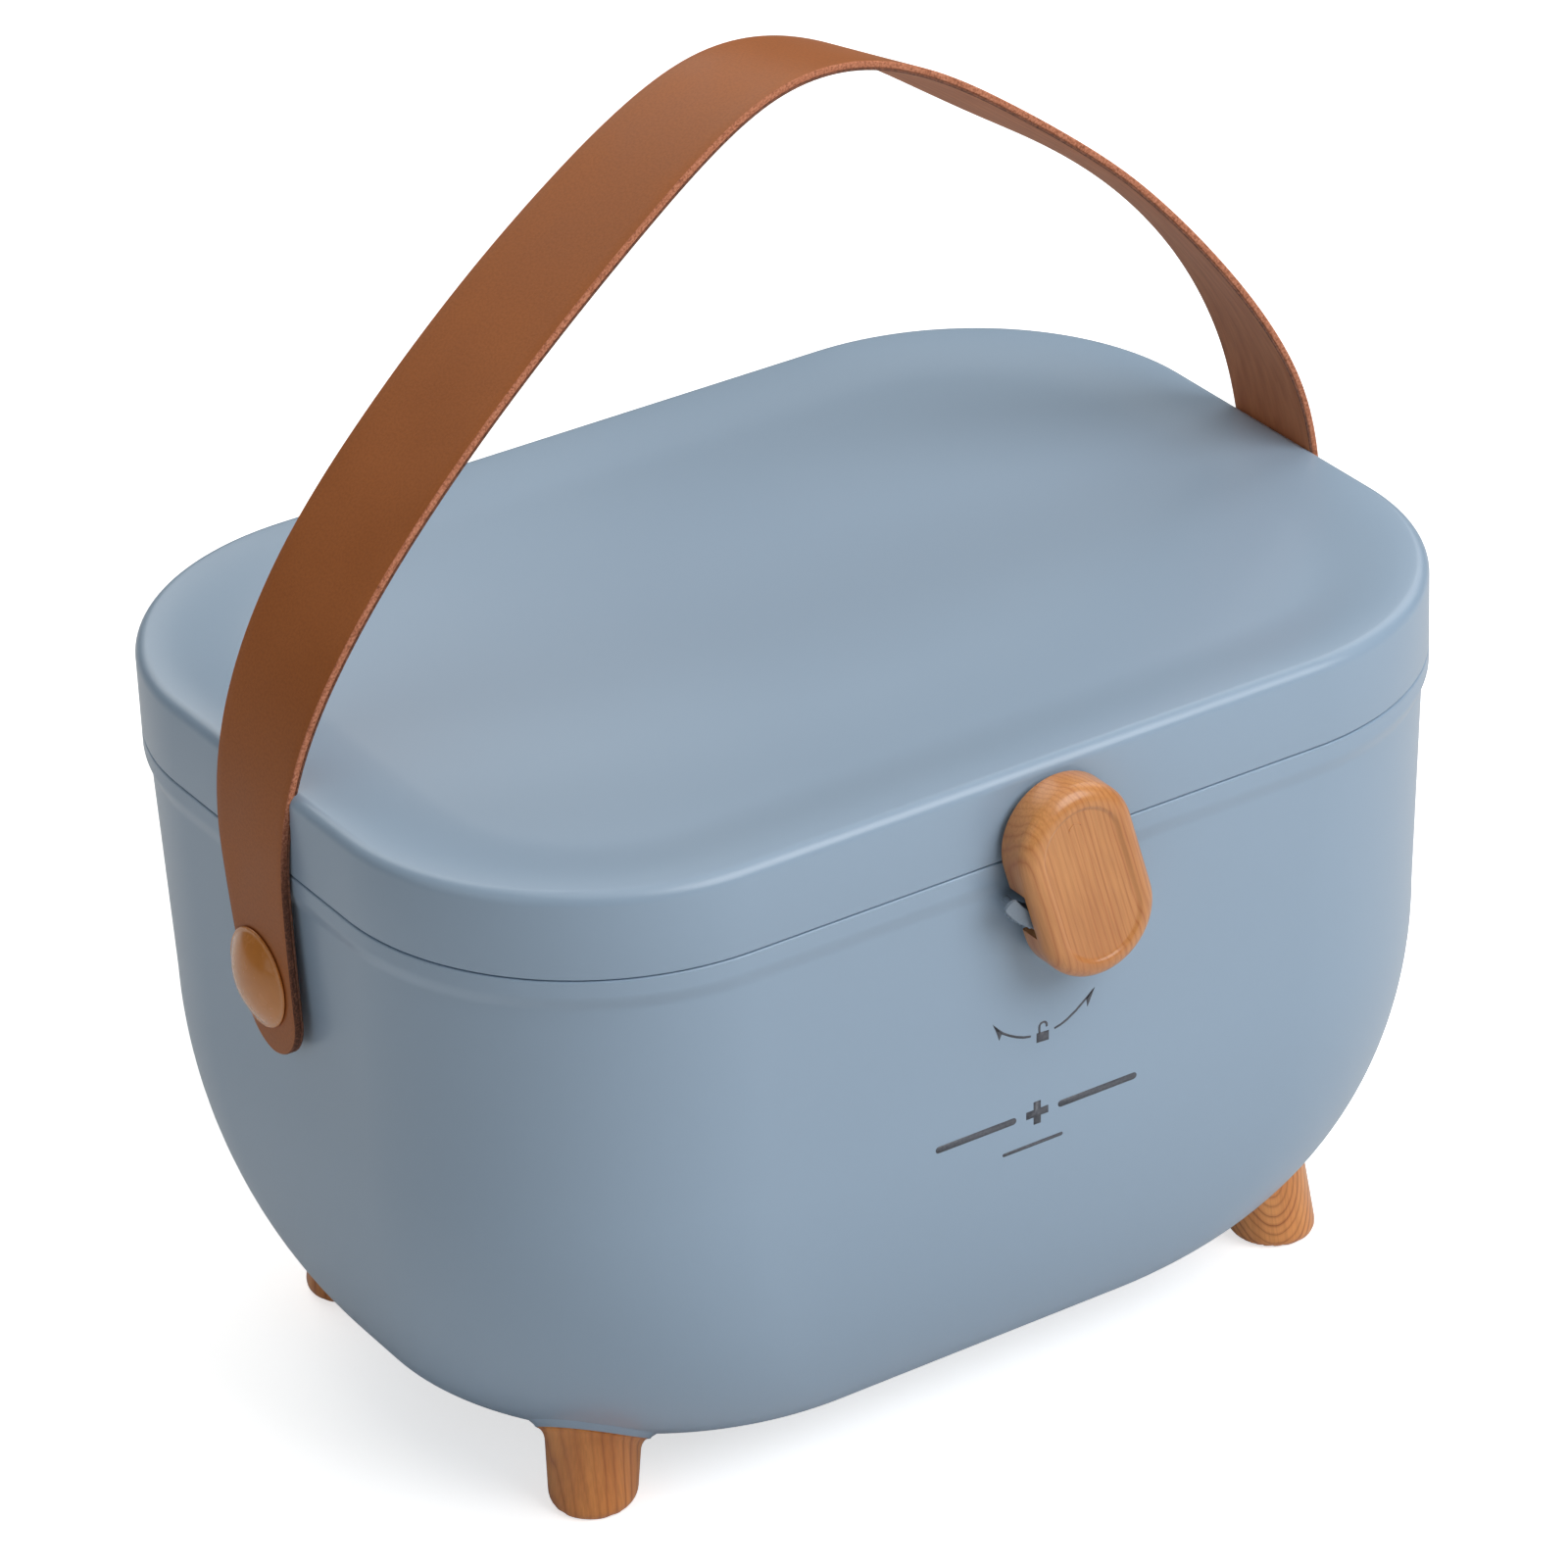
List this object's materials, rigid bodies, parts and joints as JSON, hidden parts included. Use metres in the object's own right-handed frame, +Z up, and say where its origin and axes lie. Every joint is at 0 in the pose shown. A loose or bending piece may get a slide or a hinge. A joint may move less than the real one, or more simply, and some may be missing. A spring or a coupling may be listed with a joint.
{
  "type": "medicine box",
  "caption": "Portable medicine storage box: round-bottomed plastic tub with hinged lid, turn latch, strap handle on studs, splayed feet and a lift-out divided tray",
  "frame": {"origin": "on the table under the middle of the box", "axes": "+X to the box's right along its long side, +Y to the back where the hinges are, +Z up; the latch faces -Y"},
  "size_m": [0.2842, 0.2162, 0.302],
  "materials": {
    "tub_plastic": "blue-grey moulded plastic, satin gloss",
    "wood_look": "printed wood grain, satin",
    "steel": "plain zinc-plated",
    "stud_cap": "ochre-brown lacquer, gloss",
    "strap_leather": "brown synthetic leather, fine grain",
    "lining_leather": "dull grey-brown backing",
    "tray_plastic": "off-white moulded plastic",
    "divider_plastic": "pale grey moulded plastic"
  },
  "bodies": {
    "tub": {"body_shell": "tub_plastic", "front_left_foot": "wood_look", "front_right_foot": "wood_look", "rear_left_foot": "wood_look", "rear_right_foot": "wood_look", "foot_screws": "steel", "left_stud": "stud_cap", "right_stud": "stud_cap", "left_stud_post": "steel", "right_stud_post": "steel", "left_spacer": "steel", "right_spacer": "steel", "left_hinge_pin": "steel", "right_hinge_pin": "steel", "latch_catch": "tub_plastic"},
    "lid": {"lid_shell": "tub_plastic", "latch_guide": "tub_plastic", "latch_washer": "steel"},
    "latch": {"latch_knob": "wood_look", "latch_screw": "steel"},
    "handle": {"strap": "strap_leather", "strap_lining": "lining_leather"},
    "tray": {"tray": "tray_plastic", "left_divider": "divider_plastic", "right_divider": "divider_plastic"}
  },
  "joints": [
    {"name": "lid_hinge", "type": "hinge", "parent": "tub", "child": "lid", "pos_m": [0, 0.1028, 0.15465], "axis": [-1, 0, 0], "range_deg": [0, 95]},
    {"name": "latch_turn", "type": "hinge", "parent": "lid", "child": "latch", "pos_m": [0.003, -0.1035, 0.158], "axis": [0, -1, 0], "range_deg": [-90, 60]},
    {"name": "handle_swing", "type": "hinge", "parent": "tub", "child": "handle", "pos_m": [0, 0, 0.1245], "axis": [-1, 0, 0], "range_deg": [0, 105], "deforming": ["strap", "strap_lining"]},
    {"name": "tray_lift", "type": "slide", "parent": "tub", "child": "tray", "axis": [0, 0, 1], "range_m": [0, 0.07]}
  ],
  "couplings": [
    {"joint": "handle_swing", "follows": "lid_hinge", "ratio": 1.105},
    {"joint": "tray_lift", "follows": "lid_hinge", "m_per_rad": 0.0416}
  ]
}
